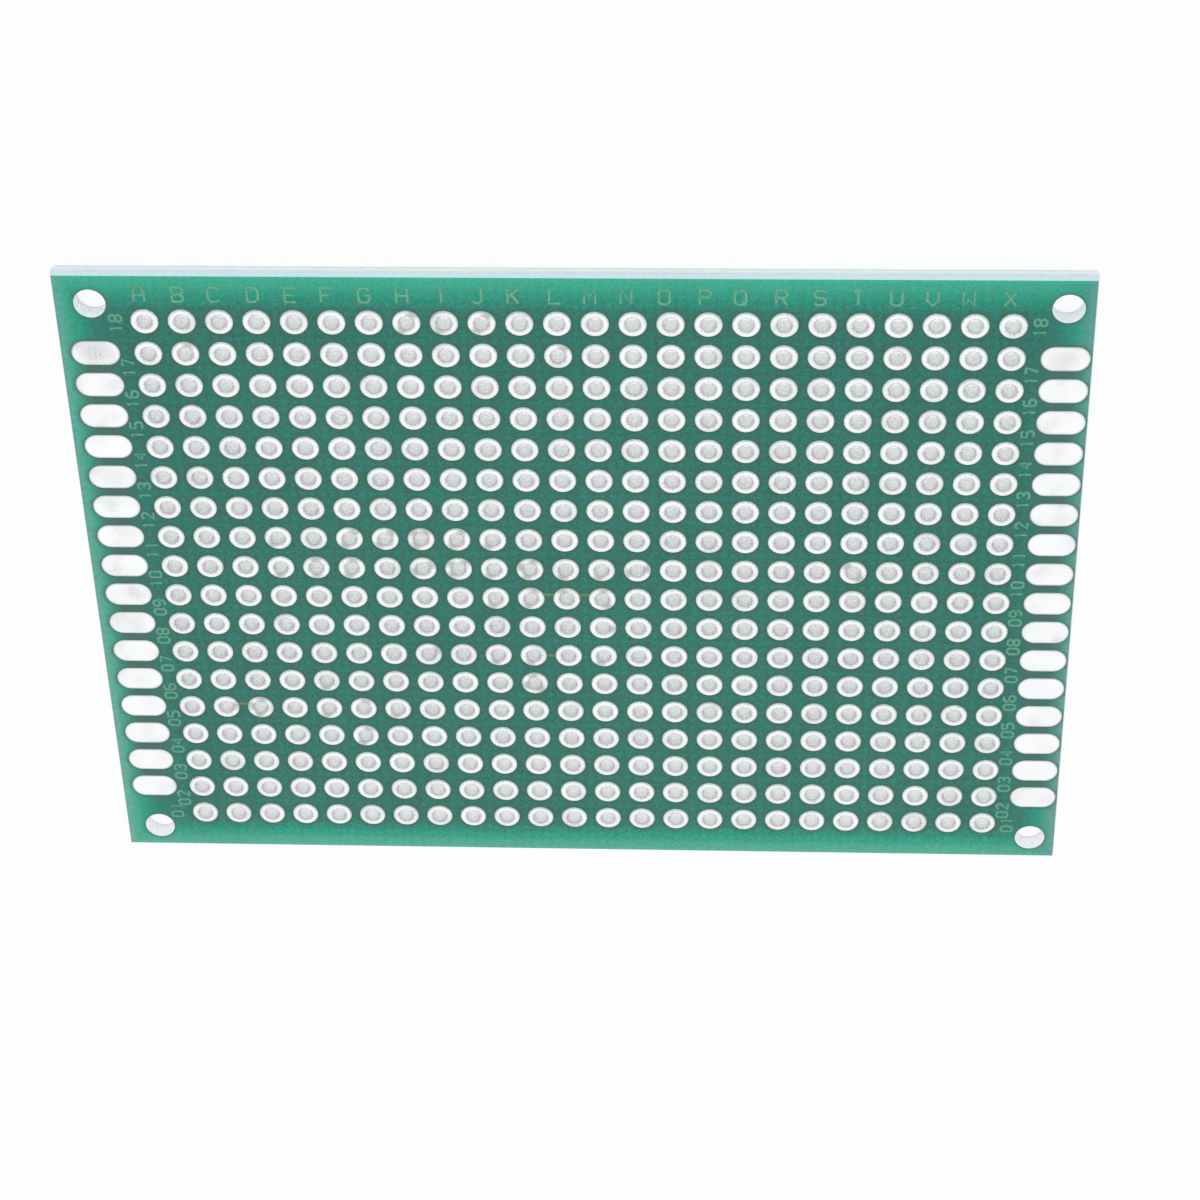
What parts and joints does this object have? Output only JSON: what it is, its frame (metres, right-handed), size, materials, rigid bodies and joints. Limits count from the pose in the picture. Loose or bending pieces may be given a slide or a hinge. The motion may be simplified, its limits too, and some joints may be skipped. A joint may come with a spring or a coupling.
{
  "type": "prototype board",
  "caption": "Flat double-sided prototype circuit board with a grid of plated lead holes, oblong solder pads along both short ends and a fixing hole in each corner.",
  "frame": {"origin": "centre of the board's outline, on the plane of the back pads, on which it rests", "axes": "+X along the lettered columns from A to X, +Y up the numbered rows from 1, +Z out of the lettered front face"},
  "size_m": [0.07, 0.05, 0.0014],
  "materials": {
    "glass_epoxy": "sawn glass-epoxy sheet",
    "solder_mask": "semi-gloss green solder mask",
    "tinned_copper": "bright hot-air-levelled tin on copper"
  },
  "bodies": {
    "root": {"sheet": "glass_epoxy", "solder_mask_front": "solder_mask", "solder_mask_back": "solder_mask", "front_left_edge_pads": "tinned_copper", "front_right_edge_pads": "tinned_copper", "back_left_edge_pads": "tinned_copper", "back_right_edge_pads": "tinned_copper", "plated_holes_a": "tinned_copper", "plated_holes_b": "tinned_copper", "plated_holes_c": "tinned_copper", "plated_holes_d": "tinned_copper", "plated_holes_e": "tinned_copper", "plated_holes_f": "tinned_copper", "plated_holes_g": "tinned_copper", "plated_holes_h": "tinned_copper", "plated_holes_i": "tinned_copper", "plated_holes_j": "tinned_copper", "plated_holes_k": "tinned_copper", "plated_holes_l": "tinned_copper", "plated_holes_m": "tinned_copper", "plated_holes_n": "tinned_copper", "plated_holes_o": "tinned_copper", "plated_holes_p": "tinned_copper", "plated_holes_q": "tinned_copper", "plated_holes_r": "tinned_copper", "plated_holes_s": "tinned_copper", "plated_holes_t": "tinned_copper", "plated_holes_u": "tinned_copper", "plated_holes_v": "tinned_copper", "plated_holes_w": "tinned_copper", "plated_holes_x": "tinned_copper"}
  },
  "joints": []
}
